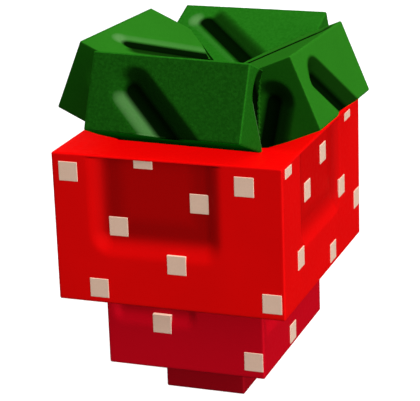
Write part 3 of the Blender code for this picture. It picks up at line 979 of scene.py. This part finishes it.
def leaf_finish(name, face, deep, pale, grain_share):
    """Leaf green with fibre mottling, painted shade in groove bottoms, on banks and on faces that
    look front or back, painted highlights on banks, painted light on the underside, and a leathery
    skin.
    """
    material = bpy.data.materials.new(name)
    f = Finish(material)
    slow = f.ramp(f.noise(60.0, 3.0), 0.3, 0.7)
    fine = f.ramp(f.noise(1300.0, 5.0, 0.65), 0.35, 0.65)
    base = f.mix(f.times(slow, SLOW_GREEN), face, deep)
    base = f.mix(f.times(fine, grain_share), base, pale)
    # faces that look front or back are painted a grained shade
    grained_shade = f.mix(f.times(fine, grain_share * 0.6), deep, base)
    base = f.mix(f.times(f.mark("end"), END_SHADE_SHARE), base, grained_shade)
    painted_highlight = f.mix(f.times(fine, 0.4), PAINTED_HIGHLIGHT_PALE, PAINTED_HIGHLIGHT_DEEP)
    # painted light on the underside
    base = f.mix(f.ramp(f.mark("under"), 0.70, 0.95), base, UNDERSIDE_PAINTED_LIGHT)
    # painted highlight on banks that turn towards the light
    base = f.mix(f.ramp(f.mark("towards"), 0.17, 0.29, 0.0, PAINTED_HIGHLIGHT_SHARE), base, painted_highlight)
    # painted shade on banks that turn away and, darker still, in the groove bottoms
    base = f.mix(f.ramp(f.mark("away"), 0.03, 0.20, 0.0, SHADED_BANK_GREEN), base, GROOVE_SHADE)
    base = f.mix(f.ramp(f.mark("groove"), 0.58, 0.80, 0.0, BOTTOM_SHADE_SHARE), base, GROOVE_BOTTOM_SHADE)
    rub = f.times(f.mark("edge"), f.ramp(f.noise(300.0, 4.0), 0.45, 0.7))
    base = f.mix(f.times(rub, RUBBED_GREEN), base, pale)
    f.colour(base)
    f.roughness(f.ramp(fine, 0.0, 1.0, 0.55, 0.72))
    f.bump(f.noise(1500.0, 4.0, 0.6), 0.2 + grain_share, 0.00015)
    f.shader.inputs["Specular IOR Level"].default_value = LEAF_GLOSS
    return material


leaf_smooth = leaf_finish("leaf_green_smooth", (0.0160, 0.130, 0.0072), (0.0048, 0.056, 0.0022),
                          (0.024, 0.165, 0.012), 0.10)
leaf_grained = leaf_finish("leaf_green_grained", (0.0085, 0.101, 0.0042), (0.0036, 0.039, 0.0020),
                           (0.017, 0.145, 0.009), 0.45)
print("greens:", leaf_smooth.name, "and", leaf_grained.name)

# %% [markdown]
# ## Seed tan
# The tiles are dry and a little chalky. Slow patches of a darker tan and fine brown
# speckles keep them from looking printed, and a rough skin keeps them matte.

# %% Make the tan
SEED_LIGHT, SEED_PATCH = (0.72, 0.50, 0.38), (0.66, 0.45, 0.33)
SEED_SPECK = (0.52, 0.36, 0.25)
SEED_GLOSS = 0.25


def tan_finish(material):
    """Dry tan tile with slow patches and faint speckles."""
    f = Finish(material)
    slow = f.ramp(f.noise(120.0, 3.0), 0.3, 0.7)
    fine = f.ramp(f.noise(2200.0, 4.0, 0.7), 0.35, 0.7)
    base = f.mix(f.times(slow, 0.4), SEED_LIGHT, SEED_PATCH)
    base = f.mix(f.times(fine, 0.20), base, SEED_SPECK)
    f.colour(base)
    f.roughness(f.ramp(fine, 0.0, 1.0, 0.60, 0.78))
    f.bump(f.noise(1800.0, 4.0), 0.2, 0.0001)
    f.shader.inputs["Specular IOR Level"].default_value = SEED_GLOSS


tan_finish(seed_finish)
print("nodes in the tan finish:", len(seed_finish.node_tree.nodes))

# %% [markdown]
# ## Putting the finishes on
# Each piece takes one finish. The front and back leaves take the grained green and the
# other two the smooth one.

# %% Give every piece its finish
def give(piece, material):
    """Put one finish on a piece."""
    piece.data.materials.clear()
    piece.data.materials.append(material)


give(body_block, body_red)
give(middle_block, middle_crimson)
give(tip_block, tip_dark)
for side, leaf in leaves.items():
    give(leaf, leaf_grained if side in ("front", "back") else leaf_smooth)
for seeds in seed_sets:
    give(seeds, seed_finish)
finished = [body_block, middle_block, tip_block, *leaves.values(), *seed_sets]
print("finishes:", len({piece.data.materials[0].name for piece in finished}),
      "on", len(finished), "pieces")

# %% [markdown]
# ## The floor
# The strawberry stands on a plain pale floor. In a real studio such a floor throws a
# glow up at the sides of an object. Here the floor shows, but throws none, so that the
# lower blocks keep their depth of colour.

# %% Lay the floor
FLOOR_PALE = (0.86, 0.86, 0.86, 1)
FLOOR_HALF = 3                   # half the floor's side, in metres
corners = [(-FLOOR_HALF, -FLOOR_HALF, 0), (FLOOR_HALF, -FLOOR_HALF, 0),
           (FLOOR_HALF, FLOOR_HALF, 0), (-FLOOR_HALF, FLOOR_HALF, 0)]
floor_mesh = bpy.data.meshes.new("floor")
floor_mesh.from_pydata(corners, [], [(0, 1, 2, 3)])
floor = bpy.data.objects.new("floor", floor_mesh)
bpy.context.scene.collection.objects.link(floor)
floor_paint = bpy.data.materials.new("floor_paint")
floor_paint.use_nodes = True
floor_shader = floor_paint.node_tree.nodes["Principled BSDF"]
floor_shader.inputs["Base Color"].default_value = FLOOR_PALE
floor_shader.inputs["Roughness"].default_value = 0.9
floor_mesh.materials.append(floor_paint)
floor.visible_diffuse = False
floor.visible_glossy = False
print("side of the floor in m:", 2 * FLOOR_HALF)

# %% [markdown]
# ## The light
# A large soft key light comes from the right, the front and above, and a low one from
# the right. They make the top brightest, the right side next and the front darkest.
# Both cast shadows. The other four are fills that cast none and give no highlights. They
# even the light out: one along the key, and one each for the right side, the top and
# the back. A faint pale sky fills what is left.

# %% Hang the lights
LIGHT_DISTANCE = 5.0
SKY_STRENGTH = 0.15
KEY_WAY = (0.616, -0.411, 0.671)

# name, way it comes from, size in metres, power in watts, whether it casts shadows
LIGHTS = [
    ("key", KEY_WAY, 3.4, 80.0, True),
    ("key_fill", KEY_WAY, 3.4, 260.0, False),
    ("low", (0.80, -0.60, 0.14), 3.0, 80.0, True),
    ("side", (1.0, -0.05, 0.10), 3.0, 42.0, False),
    ("top", (0.05, 0.05, 1.0), 3.5, 180.0, False),
    ("behind", (-0.7, 0.7, 0.12), 3.0, 95.0, False),
]


def soft_light(name, way, size, power, shadow):
    """A square area light in a direction from the body, aimed back at it."""
    light = bpy.data.objects.new(name, bpy.data.lights.new(name, "AREA"))
    light.data.size = size
    light.data.energy = power
    light.data.use_shadow = shadow
    light.visible_glossy = shadow
    direction = Vector(way).normalized()
    light.location = CAMERA_TARGET + direction * LIGHT_DISTANCE
    light.rotation_euler = direction.to_track_quat("Z", "Y").to_euler()
    bpy.context.scene.collection.objects.link(light)


for light_row in LIGHTS:
    soft_light(*light_row)
world = bpy.data.worlds.new("sky")
world.use_nodes = True
world.node_tree.nodes["Background"].inputs["Color"].default_value = (1, 1, 1, 1)
world.node_tree.nodes["Background"].inputs["Strength"].default_value = SKY_STRENGTH
bpy.context.scene.world = world
world.cycles_visibility.glossy = False     # the sky lights the blocks, but isn't mirrored
bpy.context.scene.view_settings.view_transform = "Standard"
print("lights:", len(bpy.data.lights))

# %% [markdown]
# ## The end
